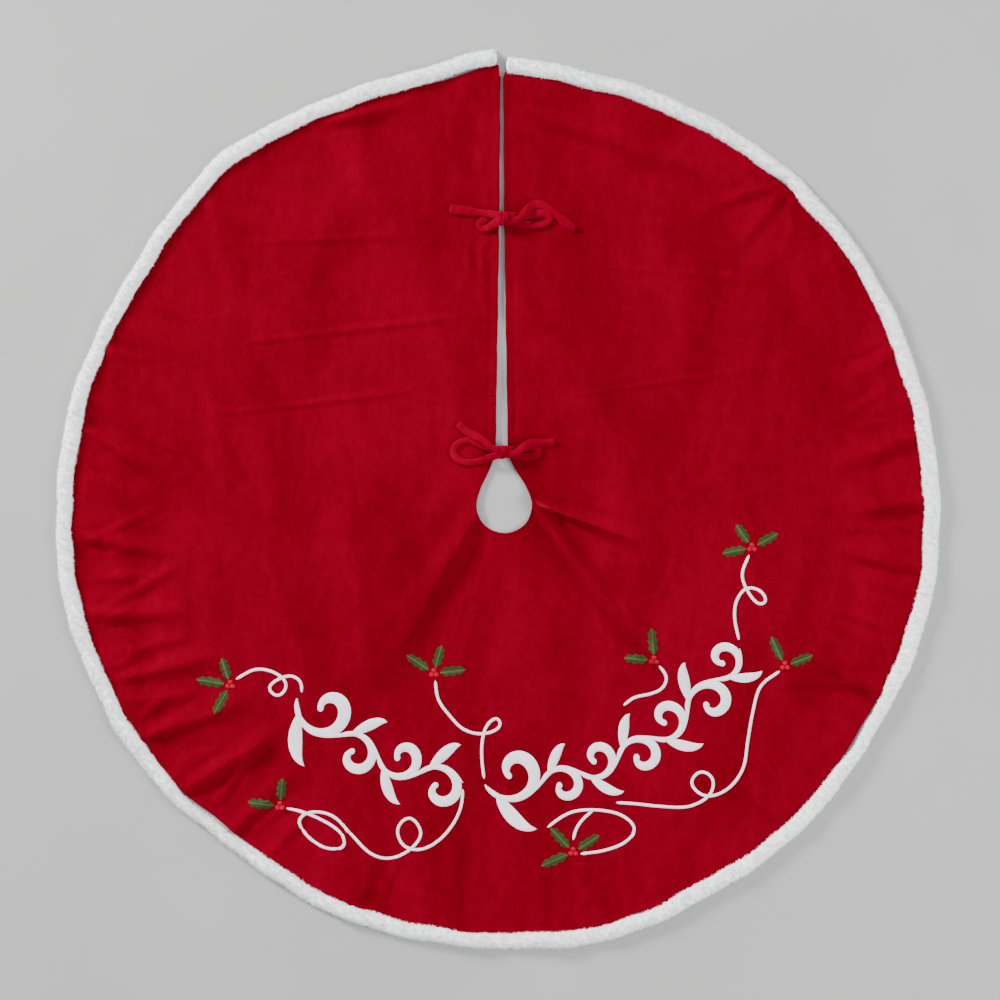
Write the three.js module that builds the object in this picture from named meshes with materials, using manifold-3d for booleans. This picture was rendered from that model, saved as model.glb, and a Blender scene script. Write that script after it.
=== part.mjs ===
// A round velvet tree skirt laid out on the floor: a lined velvet face with a slit
// at the back, a trunk hole in the middle, a plush rim and two tied bows that close
// the slit. White scrollwork and sprigs of holly are embroidered across the front.
// Millimetres, +Z up. The origin is the middle of the underside, and the slit runs
// along +Y from the trunk hole to the rim.
import * as THREE from 'three';
import { mergeVertices } from 'three/addons/utils/BufferGeometryUtils.js';
import Module from 'manifold-3d';

const wasm = await Module();
wasm.setup();

// Layers, from the floor up
const liningThickness = 0.8;
const backingThickness = 0.4;
const faceThickness = 1.5;
const threadHeight = 1.0;

// Skirt and rim
const skirtRadius = 609.6;
const trimWidth = 24;
const trimHeight = 13;
const seamGap = 0.3;
const rimSegments = 96;

// Slit and trunk hole: the slit widens from the rim towards the hole
const slitX = 3;
const slitWidthAtRim = 6;
const slitWidthAtUpperBow = 9;
const slitWidthAtNeck = 19;
const neckY = 80;
const holeX = 6.5;
const holeRadius = 39;

// Bows
const upperBowX = 7;
const upperBowY = 392;
const lowerBowX = 3.5;
const lowerBowY = 73;
const tieDiameter = 6;
const tieSides = 8;
const tieStep = 11;
const strandSpread = 3.2;
const knotLength = 11;
const knotWall = 2.2;
const knotClearance = 1;

// Embroidered scroll
const scrollRadius = 383;
const halfWave = 52;
const stemSwing = 14;
const stemWidth = 6;
const leftScrollStart = 223.6;
const leftScrollWaves = [1.5, 1.15, 1.15, 1.2];
const rightScrollStart = 267;
const rightScrollWaves = [1.5, 1.05, 1.05, 1.1, 1.1, 1.2, 1];
const scrollReach = 42;
const curlWidth = 13;
const curlEye = 7;
const scrollLeafWidth = 14;

// Holly sprigs
const leafWidth = 16;
const leafSetback = 8.5;
const berryRadius = 3.6;
const berrySpread = 3.8;
const tendrilWidth = 4.4;

// Heights worked out from the layers
const backingBottom = liningThickness;
const faceBottom = liningThickness + backingThickness;
const faceTop = faceBottom + faceThickness;
const tieRadius = tieDiameter / 2;
const layerRadius = skirtRadius - trimWidth - seamGap;

// Heights of a tie's strand above its place on the face, where it runs through a knot
const LOW = knotWall + knotClearance;
const HIGH = LOW + tieDiameter + knotClearance;

const colours = {
  velvet: { color: 0x9c0612, roughness: 0.85, metalness: 0 },
  lining: { color: 0x8a1018, roughness: 0.8, metalness: 0 },
  backing: { color: 0xe6e2da, roughness: 0.95, metalness: 0 },
  plush: { color: 0xfbfbfa, roughness: 0.95, metalness: 0 },
  tie: { color: 0xc0102c, roughness: 0.75, metalness: 0 },
  whiteThread: { color: 0xf2eef4, roughness: 0.5, metalness: 0 },
  greenThread: { color: 0x225628, roughness: 0.5, metalness: 0 },
  redThread: { color: 0xd02434, roughness: 0.45, metalness: 0 },
};

const skirt = new THREE.Group();

function addPiece(name, geometry, look) {
  const mesh = new THREE.Mesh(geometry, new THREE.MeshStandardMaterial(colours[look]));
  mesh.name = name;
  skirt.add(mesh);
}

// Solids from closed geometries, and back, for joining and cutting

function toSolid(geometry) {
  const bare = geometry.clone();
  bare.deleteAttribute('normal');
  bare.deleteAttribute('uv');
  const merged = mergeVertices(bare, 1e-4);
  const mesh = new wasm.Mesh({
    numProp: 3,
    vertProperties: new Float32Array(merged.attributes.position.array),
    triVerts: new Uint32Array(merged.index.array),
  });
  return new wasm.Manifold(mesh);
}

function fromSolid(solid) {
  const mesh = solid.getMesh();
  const geometry = new THREE.BufferGeometry();
  geometry.setAttribute('position', new THREE.BufferAttribute(mesh.vertProperties, 3));
  geometry.setIndex(new THREE.BufferAttribute(mesh.triVerts, 1));
  geometry.computeVertexNormals();
  return geometry;
}

function joinAll(solids) {
  return solids.reduce((sum, solid) => sum.add(solid));
}

function plate(outline, bottom, thickness, holes = []) {
  const shape = new THREE.Shape(outline);
  shape.holes = holes.map((hole) => new THREE.Path(hole));
  const geometry = new THREE.ExtrudeGeometry(shape, { depth: thickness, bevelEnabled: false });
  return geometry.translate(0, 0, bottom);
}

// Slit and trunk hole

function blend(from, to, share) {
  return from + (to - from) * THREE.MathUtils.clamp(share, 0, 1);
}

function shoulder(y) {
  return 0.5 + 0.5 * Math.cos((Math.PI * THREE.MathUtils.clamp(y, 0, neckY)) / neckY);
}

function gapCentre(y) {
  return blend(slitX, holeX, shoulder(y));
}

function gapHalfWidth(y) {
  const neck = slitWidthAtNeck / 2;
  const bow = slitWidthAtUpperBow / 2;
  const rim = slitWidthAtRim / 2;
  if (y >= upperBowY) return blend(bow, rim, (y - upperBowY) / (skirtRadius - upperBowY));
  if (y >= neckY) return blend(neck, bow, (y - neckY) / (upperBowY - neckY));
  return blend(neck, holeRadius, shoulder(y));
}

function gapEdge(side, y) {
  return new THREE.Vector2(gapCentre(y) + side * gapHalfWidth(y), y);
}

function gapStations(rimY) {
  const stations = [rimY, upperBowY];
  const shoulderSteps = 8;
  for (let i = 0; i <= shoulderSteps; i += 1) stations.push(neckY * (1 - i / shoulderSteps));
  return stations;
}

function skirtOutline(radius) {
  const outline = [];
  for (let i = 1; i < rimSegments; i += 1) {
    const angle = Math.PI / 2 + (2 * Math.PI * i) / rimSegments;
    outline.push(new THREE.Vector2(radius * Math.cos(angle), radius * Math.sin(angle)));
  }
  const stations = gapStations(radius * Math.cos(Math.PI / rimSegments));
  for (const y of stations) outline.push(gapEdge(1, y));
  const holeSteps = 14;
  for (let i = 1; i < holeSteps; i += 1) {
    const angle = (-Math.PI * i) / holeSteps;
    outline.push(new THREE.Vector2(holeX + holeRadius * Math.cos(angle), holeRadius * Math.sin(angle)));
  }
  for (const y of stations.reverse()) outline.push(gapEdge(-1, y));
  return outline;
}

// Cloth layers and the plush rim

function arcPoints(radius, fromDegrees, toDegrees, steps) {
  const points = [];
  for (let i = 0; i <= steps; i += 1) {
    const angle = THREE.MathUtils.degToRad(blend(fromDegrees, toDegrees, i / steps));
    points.push(new THREE.Vector2(radius * Math.cos(angle), radius * Math.sin(angle)));
  }
  return points;
}

function backingOutline() {
  const inner = 212;
  const outer = 545;
  const start = 201;
  const end = 362;
  return [...arcPoints(outer, start, end, 32), ...arcPoints(inner, end, start, 24)];
}

function plushTrim() {
  const inner = skirtRadius - trimWidth;
  const section = [
    [0, 0], [0.75, 0], [0.93, 0.1], [1, 0.36], [0.92, 0.7], [0.72, 0.93], [0.46, 1],
    [0.2, 0.9], [0.04, 0.62], [0, 0.3],
  ].map(([across, up]) => new THREE.Vector2(inner + across * trimWidth, up * trimHeight));
  section.push(section[0].clone());
  const ring = new THREE.LatheGeometry(section, rimSegments);
  ring.rotateX(Math.PI / 2);
  const rimHalf = slitWidthAtRim / 2;
  const slitCut = new THREE.BoxGeometry(2 * rimHalf, 3 * trimWidth, 4 * trimHeight);
  slitCut.translate(slitX, skirtRadius - trimWidth / 2, 0);
  return fromSolid(toSolid(ring).subtract(toSolid(slitCut)));
}

addPiece('lining', plate(skirtOutline(layerRadius), 0, liningThickness), 'lining');
addPiece('embroidery_backing', plate(backingOutline(), backingBottom, backingThickness), 'backing');
addPiece('velvet_face', plate(skirtOutline(layerRadius), faceBottom, faceThickness), 'velvet');
addPiece('plush_trim', plushTrim(), 'plush');

// Ties. Each is sewn into one edge of the slit, runs through the knot, makes the loop
// on the far side, comes back through the knot and ends as the tail on its own side.
// A point is [right of the knot, above the knot, height above its place on the face].

const upperLeftTie = [
  [-10, -strandSpread, 0.8], [-6, -strandSpread, LOW], [8, -strandSpread, LOW], [16, -5.5, 1.2],
  [24, -7.5, 0], [42, -8, 0], [55, -6.5, 0], [62, -1, 0], [58, 6, 0], [48, 8, 0], [37, 6.5, 0],
  [29, 4.4, 0.2], [24, 3.8, 0.2], [18, 3.4, 3.6], [12, strandSpread, 8.6],
  [6, strandSpread, HIGH], [-6, strandSpread, HIGH], [-14, 5, 8.6], [-24, 7, 5], [-36, 9, 1],
  [-50, 11, 0], [-76, 14, 0],
];

const upperRightTie = [
  [9, strandSpread, LOW], [6, strandSpread, LOW], [-6, strandSpread, LOW], [-12, 3, 1.8],
  [-19, 1.2, 0.6], [-27, -1.2, 0], [-33.5, -3.6, 0], [-36, -8.6, 0], [-32, -13.2, 0],
  [-26, -12.8, 0.8], [-19.5, -9.8, 4], [-13, -6.2, 7.4], [-6, -strandSpread, HIGH],
  [6, -strandSpread, HIGH], [14, -2.8, HIGH], [21, 0, HIGH], [27, 7, HIGH], [33, 14.5, 8],
  [41, 20.5, 2.5], [50, 20, 0.3], [59, 15, 0], [71, 5.5, 0], [84, -6, 0], [96, -15, 0],
];

const lowerLeftTie = [
  [-12, -strandSpread, 0.6], [-6, -strandSpread, LOW], [6, -strandSpread, LOW], [16, -5, 0.9],
  [30, -6.5, 0], [43, -5.5, 0], [51, -1.5, 0], [50, 4.5, 0], [42, 6.5, 0], [32, 4.8, 0.3],
  [24.5, 3.6, 0.4], [18, 3.3, 4.2], [12, strandSpread, 8.8], [6, strandSpread, HIGH],
  [-6, strandSpread, HIGH], [-12, 5, 9], [-20, 11, 7.5], [-30, 19, 3], [-47, 27, 0], [-61, 39, 0],
];

const lowerRightTie = [
  [13, strandSpread, 0.6], [6, strandSpread, LOW], [-6, strandSpread, LOW], [-13, 4, 1.8],
  [-30, 10.5, 0], [-47, 17, 0], [-60, 13, 0], [-67.5, 3.5, 0], [-64, -7, 0], [-53, -14, 0],
  [-40, -13.5, 0], [-26, -10.5, 2.5], [-15, -7.2, 7], [-6, -strandSpread, HIGH],
  [6, -strandSpread, HIGH], [14, -2.6, HIGH], [21, 0, HIGH], [27, 6, 10], [34, 10.5, 7],
  [43, 12.5, 2.5], [52, 12.6, 0], [63, 13, 0], [73, 14, 0],
];

function tie(route, knotX, knotY) {
  const restingHeight = faceTop + seamGap + tieRadius;
  const points = route.map(
    ([right, up, lift]) => new THREE.Vector3(knotX + right, knotY + up, restingHeight + lift),
  );
  const path = new THREE.CatmullRomCurve3(points, false, 'centripetal');
  const section = new THREE.Shape(ringPoints(tieRadius, tieSides));
  const steps = Math.round(path.getLength() / tieStep);
  return new THREE.ExtrudeGeometry(section, { extrudePath: path, steps, bevelEnabled: false });
}

function ringPoints(radius, sides) {
  const points = [];
  for (let i = 0; i < sides; i += 1) {
    const angle = (2 * Math.PI * (i + 0.5)) / sides;
    points.push(new THREE.Vector2(radius * Math.cos(angle), radius * Math.sin(angle)));
  }
  return points;
}

// The turn that closes a bow, drawn in plan across the strands and stood upright

function roundedBox(halfWidth, bottom, top, corner) {
  const outline = [];
  const centres = [
    [halfWidth - corner, top - corner], [corner - halfWidth, top - corner],
    [corner - halfWidth, bottom + corner], [halfWidth - corner, bottom + corner],
  ];
  const cornerSteps = 4;
  centres.forEach(([x, y], quarter) => {
    for (let i = 0; i <= cornerSteps; i += 1) {
      const angle = (Math.PI / 2) * (quarter + i / cornerSteps);
      outline.push(new THREE.Vector2(x + corner * Math.cos(angle), y + corner * Math.sin(angle)));
    }
  });
  return outline;
}

function knot(knotX, knotY) {
  const innerHalf = strandSpread + tieRadius + knotClearance;
  const bottom = faceTop + seamGap;
  const innerTop = bottom + HIGH + tieDiameter + knotClearance;
  const outer = roundedBox(innerHalf + knotWall, bottom, innerTop + knotWall, tieRadius);
  const inner = roundedBox(innerHalf, bottom + knotWall, innerTop, 1);
  const ring = plate(outer, -knotLength / 2, knotLength, [inner]);
  ring.rotateX(Math.PI / 2);
  ring.rotateZ(Math.PI / 2);
  return ring.translate(knotX, knotY, 0);
}

addPiece('upper_left_tie', tie(upperLeftTie, upperBowX, upperBowY), 'tie');
addPiece('upper_right_tie', tie(upperRightTie, upperBowX, upperBowY), 'tie');
addPiece('upper_bow_knot', knot(upperBowX, upperBowY), 'tie');
addPiece('lower_left_tie', tie(lowerLeftTie, lowerBowX, lowerBowY), 'tie');
addPiece('lower_right_tie', tie(lowerRightTie, lowerBowX, lowerBowY), 'tie');
addPiece('lower_bow_knot', knot(lowerBowX, lowerBowY), 'tie');

// Embroidery. A stroke is a flat ribbon of thread with a width at each of its points.

function ribbon(points, widths) {
  const left = [];
  const right = [];
  points.forEach((point, i) => {
    const before = points[Math.max(i - 1, 0)];
    const after = points[Math.min(i + 1, points.length - 1)];
    const along = after.clone().sub(before).normalize();
    const across = new THREE.Vector2(-along.y, along.x).multiplyScalar(widths[i] / 2);
    left.push(point.clone().add(across));
    right.push(point.clone().sub(across));
  });
  return toSolid(plate([...right, ...left.reverse()], faceTop, threadHeight));
}

// A stroke that crosses itself is joined from short runs
function crossingRibbon(points, widths) {
  const spans = 4;
  const runs = [];
  for (let first = 0; first < points.length - 1; first += spans) {
    const end = first + spans + 1;
    runs.push(ribbon(points.slice(first, end), widths.slice(first, end)));
  }
  return joinAll(runs);
}

function sampled(steps, valueAt) {
  return Array.from({ length: steps + 1 }, (_, i) => valueAt(i / steps));
}

// The scroll is drawn along an arc: distance along it, and distance outwards from it

function bentOnArc(startDegrees) {
  return (along, outward) => {
    const angle = THREE.MathUtils.degToRad(startDegrees) + along / scrollRadius;
    const radius = scrollRadius + outward;
    return new THREE.Vector2(radius * Math.cos(angle), radius * Math.sin(angle));
  };
}

function scrollStem(waves, place) {
  const points = [];
  let start = 0;
  waves.forEach((size, i) => {
    const swing = (i % 2 ? -1 : 1) * size * stemSwing;
    for (let step = 0; step < 7; step += 1) {
      const t = step / 7;
      points.push(place(start + t * size * halfWave, swing * Math.sin(Math.PI * t)));
    }
    start += size * halfWave;
  });
  points.push(place(start, 0));
  const taper = (t) => stemWidth * Math.min(1, 0.4 + 12 * Math.min(t, 1 - t));
  return ribbon(points, sampled(points.length - 1, taper));
}

// A curl leaves the stem where the stem crosses the arc, and winds in under its bulge
function scrollCurl(start, size, side, place) {
  const centreAlong = 0.54 * size * halfWave;
  const centreOut = 0.9 * size * stemSwing;
  const eye = size * curlEye;
  const reach = Math.hypot(centreAlong, centreOut);
  const firstTurn = Math.PI - side * Math.atan2(centreOut, centreAlong);
  const points = sampled(15, (t) => {
    const radius = eye + (reach - eye) * (1 - t) ** 1.6;
    const turn = firstTurn - side * 2.2 * Math.PI * t;
    const along = start + centreAlong + radius * Math.cos(turn);
    return place(along, radius * Math.sin(turn) - side * centreOut);
  });
  const widths = sampled(15, (t) => {
    const belly = (size * curlWidth - stemWidth) * Math.sin(Math.PI * t) ** 1.5;
    return stemWidth + belly + 2 * THREE.MathUtils.smoothstep(t, 0.85, 0.95);
  });
  return ribbon(points, widths);
}

// A leaf grows out of the stem over its bulge
function scrollLeaf(start, size, side, place) {
  const foot = 0.6 * size * stemSwing;
  const rise = size * scrollReach - foot;
  const belly = size * scrollLeafWidth - 2;
  const points = sampled(7, (t) => {
    const along = start + size * halfWave * (0.2 + 0.62 * t);
    return place(along, side * (foot + rise * Math.sin((Math.PI / 2) * t)));
  });
  return ribbon(points, sampled(7, (t) => 2 + belly * Math.sin(Math.PI * t ** 0.8)));
}

function scroll(startDegrees, waves) {
  const place = bentOnArc(startDegrees);
  const parts = [scrollStem(waves, place)];
  let start = 0;
  waves.forEach((size, i) => {
    const side = i % 2 ? -1 : 1;
    parts.push(scrollCurl(start, size, side, place));
    parts.push(scrollLeaf(start, size, side, place));
    start += size * halfWave;
  });
  return fromSolid(joinAll(parts));
}

addPiece('left_scroll', scroll(leftScrollStart, leftScrollWaves), 'whiteThread');
addPiece('right_scroll', scroll(rightScrollStart, rightScrollWaves), 'whiteThread');

// Holly sprigs: where each one is, the direction and length of its leaves, and the
// points of the thin tendril that curls away from it

const sprigs = [
  {
    at: [-369, -246],
    leaves: [[107, 31], [171, 40], [241, 37]],
    tendril: [
      [-361, -238], [-333, -224], [-304, -231], [-291, -246], [-303, -262], [-317, -250],
      [-303, -238], [-285, -233], [-272, -241], [-271, -256],
    ],
  },
  {
    at: [-90, -230],
    leaves: [[146, 37], [74, 32], [7, 36]],
    tendril: [
      [-88, -240], [-84, -266], [-69, -287], [-49, -307], [-21, -313], [2, -302], [-3, -290],
      [-18, -302], [-24, -326], [-24, -350], [-21, -374],
    ],
  },
  {
    at: [-301, -412],
    leaves: [[84, 31], [172, 37]],
    tendril: [
      [-292, -415], [-265, -421], [-217, -449], [-212, -467], [-236, -470], [-262, -454],
      [-275, -431], [-260, -420], [-229, -425], [-203, -451], [-176, -477], [-153, -484],
      [-123, -472], [-107, -449], [-123, -427], [-140, -442], [-132, -466], [-110, -472],
      [-87, -462], [-66, -440], [-53, -414], [-50, -389],
    ],
  },
  {
    at: [211, -212],
    leaves: [[94, 37], [176, 33]],
    tendril: [
      [218, -219], [229, -235], [223, -251], [204, -259], [184, -263], [170, -274],
    ],
  },
  {
    at: [346, -58],
    leaves: [[124, 31], [29, 33], [191, 34]],
    tendril: [
      [342, -68], [332, -94], [338, -114], [356, -136], [366, -132], [358, -117], [338, -113],
      [324, -132], [322, -154], [328, -184],
    ],
  },
  {
    at: [391, -220],
    leaves: [[115, 37], [21, 33]],
    tendril: [
      [384, -227], [358, -247], [347, -283], [340, -324], [333, -362], [309, -391],
      [281, -398], [262, -380], [275, -364], [292, -373], [290, -394], [261, -412],
      [218, -412], [190, -409], [160, -407],
    ],
  },
  {
    at: [101, -475],
    leaves: [[133, 38], [33, 35], [203, 40]],
    tendril: [
      [111, -477], [142, -473], [173, -461], [186, -443], [169, -425], [131, -417],
      [99, -420], [80, -430], [66, -441],
    ],
    branch: [[128, -418], [113, -431], [104, -445], [101, -458]],
  },
];

// Spiny edge of a leaf, as shares of its length and of its half width
const leafEdge = [
  [0, 0.2], [0.1, 0.45], [0.2, 1], [0.34, 0.52], [0.48, 1], [0.62, 0.5], [0.74, 0.82],
  [0.85, 0.3], [1, 0],
];

function leaf(at, directionDegrees, length) {
  const direction = THREE.MathUtils.degToRad(directionDegrees);
  const place = (share, out) => {
    const point = new THREE.Vector2(leafSetback + share * length, (out * leafWidth) / 2);
    return point.rotateAround(new THREE.Vector2(), direction).add(new THREE.Vector2(...at));
  };
  const right = leafEdge.map(([share, out]) => place(share, -out));
  const left = leafEdge.slice(0, -1).map(([share, out]) => place(share, out));
  return plate([...right, ...left.reverse()], faceTop, threadHeight);
}

function berries(at) {
  const domeSteps = 4;
  const profile = [new THREE.Vector2(0, 0)];
  for (let i = 0; i <= domeSteps; i += 1) {
    const angle = ((Math.PI / 2) * i) / domeSteps;
    const across = i === domeSteps ? 0 : berryRadius * Math.cos(angle);
    profile.push(new THREE.Vector2(across, 0.7 * berryRadius * Math.sin(angle)));
  }
  const domes = [90, 210, 330].map((degrees) => {
    const angle = THREE.MathUtils.degToRad(degrees);
    const dome = new THREE.LatheGeometry(profile, 10);
    dome.rotateX(Math.PI / 2);
    const x = at[0] + berrySpread * Math.cos(angle);
    const y = at[1] + berrySpread * Math.sin(angle);
    return toSolid(dome.translate(x, y, faceTop));
  });
  return fromSolid(joinAll(domes));
}

function strand(points) {
  const path = new THREE.SplineCurve(points.map((point) => new THREE.Vector2(...point)));
  const steps = Math.ceil(path.getLength() / 9);
  const centres = path.getSpacedPoints(steps);
  const widths = sampled(steps, (t) => tendrilWidth * Math.min(1, 0.5 + 8 * Math.min(t, 1 - t)));
  return crossingRibbon(centres, widths);
}

function tendril(points, branch) {
  const strands = branch ? [strand(points), strand(branch)] : [strand(points)];
  return fromSolid(joinAll(strands));
}

sprigs.forEach(({ at, leaves, tendril: points, branch }, i) => {
  const sprig = `sprig_${i + 1}`;
  leaves.forEach(([direction, length], j) => {
    addPiece(`${sprig}_leaf_${j + 1}`, leaf(at, direction, length), 'greenThread');
  });
  addPiece(`${sprig}_berries`, berries(at), 'redThread');
  addPiece(`${sprig}_tendril`, tendril(points, branch), 'whiteThread');
});

export default skirt;
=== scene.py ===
"""A round velvet tree skirt laid out on a pale floor, seen from straight above.

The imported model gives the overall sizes; the slit, the hole, the bows and the embroidery
repeat the part's own dimensions. The cloth lies in soft folds, and all the embroidery, the
ties and the plush rim follow the same folds.
"""
import math
import random

import bmesh
import bpy
import numpy as np
from mathutils import Matrix, Vector


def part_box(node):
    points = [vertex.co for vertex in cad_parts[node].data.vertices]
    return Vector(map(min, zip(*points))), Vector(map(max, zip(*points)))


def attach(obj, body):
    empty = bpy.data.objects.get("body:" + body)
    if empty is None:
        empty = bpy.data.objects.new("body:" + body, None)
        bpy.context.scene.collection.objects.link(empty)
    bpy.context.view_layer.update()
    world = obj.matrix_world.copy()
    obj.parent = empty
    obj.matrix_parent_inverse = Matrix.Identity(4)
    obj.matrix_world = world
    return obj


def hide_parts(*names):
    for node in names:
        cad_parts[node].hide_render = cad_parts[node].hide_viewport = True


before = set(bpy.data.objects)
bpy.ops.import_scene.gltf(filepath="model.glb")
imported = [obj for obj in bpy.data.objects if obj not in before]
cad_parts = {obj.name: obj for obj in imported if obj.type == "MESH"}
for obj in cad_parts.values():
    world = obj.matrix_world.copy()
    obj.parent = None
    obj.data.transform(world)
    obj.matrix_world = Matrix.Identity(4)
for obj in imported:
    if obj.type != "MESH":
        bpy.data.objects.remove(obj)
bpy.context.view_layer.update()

MM = 0.001

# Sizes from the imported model, in millimetres


def box_mm(node):
    low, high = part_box(node)
    return low / MM, high / MM


TRIM_HIGH = box_mm("plush_trim")[1]
FACE_HIGH = box_mm("velvet_face")[1]
RIM_RADIUS = TRIM_HIGH.x
FACE_RADIUS = FACE_HIGH.x
TRIM_WIDTH = RIM_RADIUS - FACE_RADIUS
TRIM_HEIGHT = TRIM_HIGH.z
FACE_TOP = FACE_HIGH.z

# How high the velvet lies above the floor, how low its folds may sink, and where the rim ripples
CLOTH_REST = 4.8
CLOTH_FLOOR = 3.7
FLOOR_GAP = 0.4
RIPPLE_START = 430.0
RIPPLE_FULL = 600.0

# The layers: how far each reaches past the seam with the plush, or lies below the velvet
FACE_REACH = 4.0
EDGE_REACH = 3.0
EDGE_HALF_WIDTH = 1.9
EDGE_HALF_HEIGHT = 1.4
LINING_REACH = 2.0
LINING_DEPTH = 2.2
LINING_THICKNESS = 0.4
BACKING_DEPTH = 1.5
BACKING_THICKNESS = 0.3
BACKING_RADII = (212.0, 545.0)
BACKING_DEGREES = (201.0, 362.0)

# The rim: how far each flap swings out beside the slit, and how its cloth corner is rounded
LEFT_FLAP = 20.0
RIGHT_FLAP = 9.0
FLAP_DEGREES = 7.0
RIM_INSET = 3.5
PLUSH_END_GAP = 3.5
PUCKER_DEGREES = 48.7
LEFT_CORNER = 9.0
RIGHT_CORNER = 5.0
CORNER_ROUND = 5.0

# Share of the plush roll's width and height that its body fills, under the pile
BODY_WIDTH = 0.9
BODY_HEIGHT = 0.8
LOWEST_TUFT = 2.2

# Slit and trunk hole, widening from the rim to the neck of the hole
SLIT_X = 3.0
SLIT_AT_RIM = 6.0
SLIT_AT_BOW = 9.0
SLIT_AT_NECK = 19.0
NECK_Y = 80.0
HOLE_X = 6.5
HOLE_RADIUS = 39.0

# Bows: their knots' places, the ties' sizes, and heights of the strands in a knot
UPPER_BOW = (7.0, 392.0)
LOWER_BOW = (3.5, 73.0)
UPPER_TIE_WIDTH = 10.8
LOWER_TIE_WIDTH = 9.8
TIE_HALF_THICKNESS = 1.9
TIE_OVER_CLOTH = 2.3
TAIL_SPREAD = 0.22
SEAM_GAP = 0.3
TIE_DIAMETER = 6.0
SPREAD = 3.2
KNOT_WALL = 2.2
KNOT_CLOTH = 1.6
KNOT_CLEARANCE = 1.0
LOW = KNOT_WALL + KNOT_CLEARANCE
HIGH = LOW + TIE_DIAMETER + KNOT_CLEARANCE

# Embroidery
LEFT_SCROLL_START = 223.6
LEFT_SCROLL_WAVES = (1.5, 1.15, 1.15, 1.2)
RIGHT_SCROLL_START = 267.0
RIGHT_SCROLL_WAVES = (1.5, 1.05, 1.05, 1.1, 1.1, 1.2, 1)
SCROLL_RADIUS = 383.0
HALF_WAVE = 52.0
STEM_SWING = 14.0
STEM_WIDTH = 6.0
SCROLL_REACH = 42.0
CURL_WIDTH = 13.0
CURL_EYE = 7.0
SCROLL_LEAF_WIDTH = 14.0
LEAF_WIDTH = 16.0
LEAF_SETBACK = 8.5
VEIN_HALF_WIDTH = 0.8
BERRY_RADIUS = 3.7
BERRY_SPREAD = 3.9
TENDRIL_WIDTH = 4.6


# ---------------------------------------------------------------- the lie of the cloth


def smooth(value, start, end):
    """0 before start, 1 after end, and an even S between them."""
    share = np.clip((value - start) / (end - start), 0.0, 1.0)
    return share * share * (3 - 2 * share)


def ridge(x, y, start, end, width, height, crisp):
    """A fold from start to end: a crest that fades at both ends, with a dip on each side."""
    run = np.array(end, float) - np.array(start, float)
    length = float(np.hypot(*run))
    run /= length
    margin = 4 * width
    beside = (
        (x.max() < min(start[0], end[0]) - margin) | (x.min() > max(start[0], end[0]) + margin)
        | (y.max() < min(start[1], end[1]) - margin) | (y.min() > max(start[1], end[1]) + margin)
    )
    if beside:
        return 0.0
    along = (x - start[0]) * run[0] + (y - start[1]) * run[1]
    across = (y - start[1]) * run[0] - (x - start[0]) * run[1]
    across = across + 0.12 * width * np.sin(along / (0.23 * length) + start[0])
    wide = width * (0.5 + 0.75 * np.clip(along / length, 0, 1))
    fade = smooth(along, -0.06 * length, 0.22 * length)
    fade = fade * (1 - smooth(along, 0.6 * length, 1.08 * length))
    crest = np.exp(-((np.abs(across) / wide) ** crisp))
    hollow = np.exp(-(((np.abs(across) - 2.1 * wide) / wide) ** 2))
    return height * fade * (crest - HOLLOW_DEPTH * hollow)


FOLD_DEPTH = 1.9
HOLLOW_DEPTH = 0.25
WRINKLE_START = 576.0

# Folds over the skirt: start, end, width, height, crispness
FOLDS = [
    ((30, 24), (222, -226), 11, 12.0, 1.3),
    ((150, -108), (286, -284), 20, 6.0, 1.7),
    ((34, 6), (205, -54), 8, 6.0, 1.4),
    ((-22, 10), (-176, -262), 19, 4.8, 1.8),
    ((-46, -30), (-232, -262), 24, 2.4, 1.9),
    ((-36, -70), (-84, -196), 5, -2.6, 1.6),
    ((-398, 216), (-8, 264), 4, 1.6, 1.3),
    ((-404, 356), (-100, 372), 4, 1.3, 1.3),
    ((-410, 122), (-96, 160), 4, 1.2, 1.3),
    ((120, 330), (420, 300), 4, 1.0, 1.3),
    ((96, 150), (420, 196), 4, 0.9, 1.3),
    ((14, 296), (150, 130), 26, 3.6, 1.9),
    ((40, 420), (200, 250), 30, 2.6, 1.9),
    ((-44, 366), (-38, 300), 4, 1.6, 1.6),
    ((-24, 362), (-22, 306), 4, 1.4, 1.6),
    ((20, 548), (378, 418), 14, 3.6, 1.7),
    ((392, 436), (320, 346), 8, 2.6, 1.5),
    ((402, 428), (396, 330), 7, 1.8, 1.5),
    ((384, 440), (270, 404), 7, 2.2, 1.5),
    ((-240, 522), (-120, 552), 10, 3.4, 1.6),
    ((-410, 418), (-330, 372), 10, 2.6, 1.6),
    ((-566, 246), (-456, 130), 11, 3.2, 1.6),
    ((-580, 110), (-462, 40), 10, 3.4, 1.6),
    ((-580, -44), (-440, -66), 10, 3.3, 1.6),
    ((-566, -150), (-420, -146), 11, 3.6, 1.5),
    ((-532, -240), (-372, -204), 11, 4.0, 1.5),
    ((-496, -320), (-330, -262), 12, 4.5, 1.5),
    ((-440, -396), (-290, -300), 11, 4.6, 1.5),
    ((-380, -462), (-280, -356), 11, 3.8, 1.6),
    ((-54, -582), (-66, -440), 9, 3.2, 1.6),
    ((60, -584), (50, -470), 9, 2.8, 1.6),
    ((392, -440), (318, -366), 11, 2.8, 1.6),
    ((530, -262), (424, -204), 12, 4.6, 1.6),
    ((580, -88), (466, -54), 11, 4.2, 1.6),
    ((586, 6), (470, -6), 11, 4.0, 1.6),
    ((576, 100), (462, 50), 12, 4.4, 1.6),
    ((548, 214), (462, 160), 11, 2.4, 1.6),
]


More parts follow.
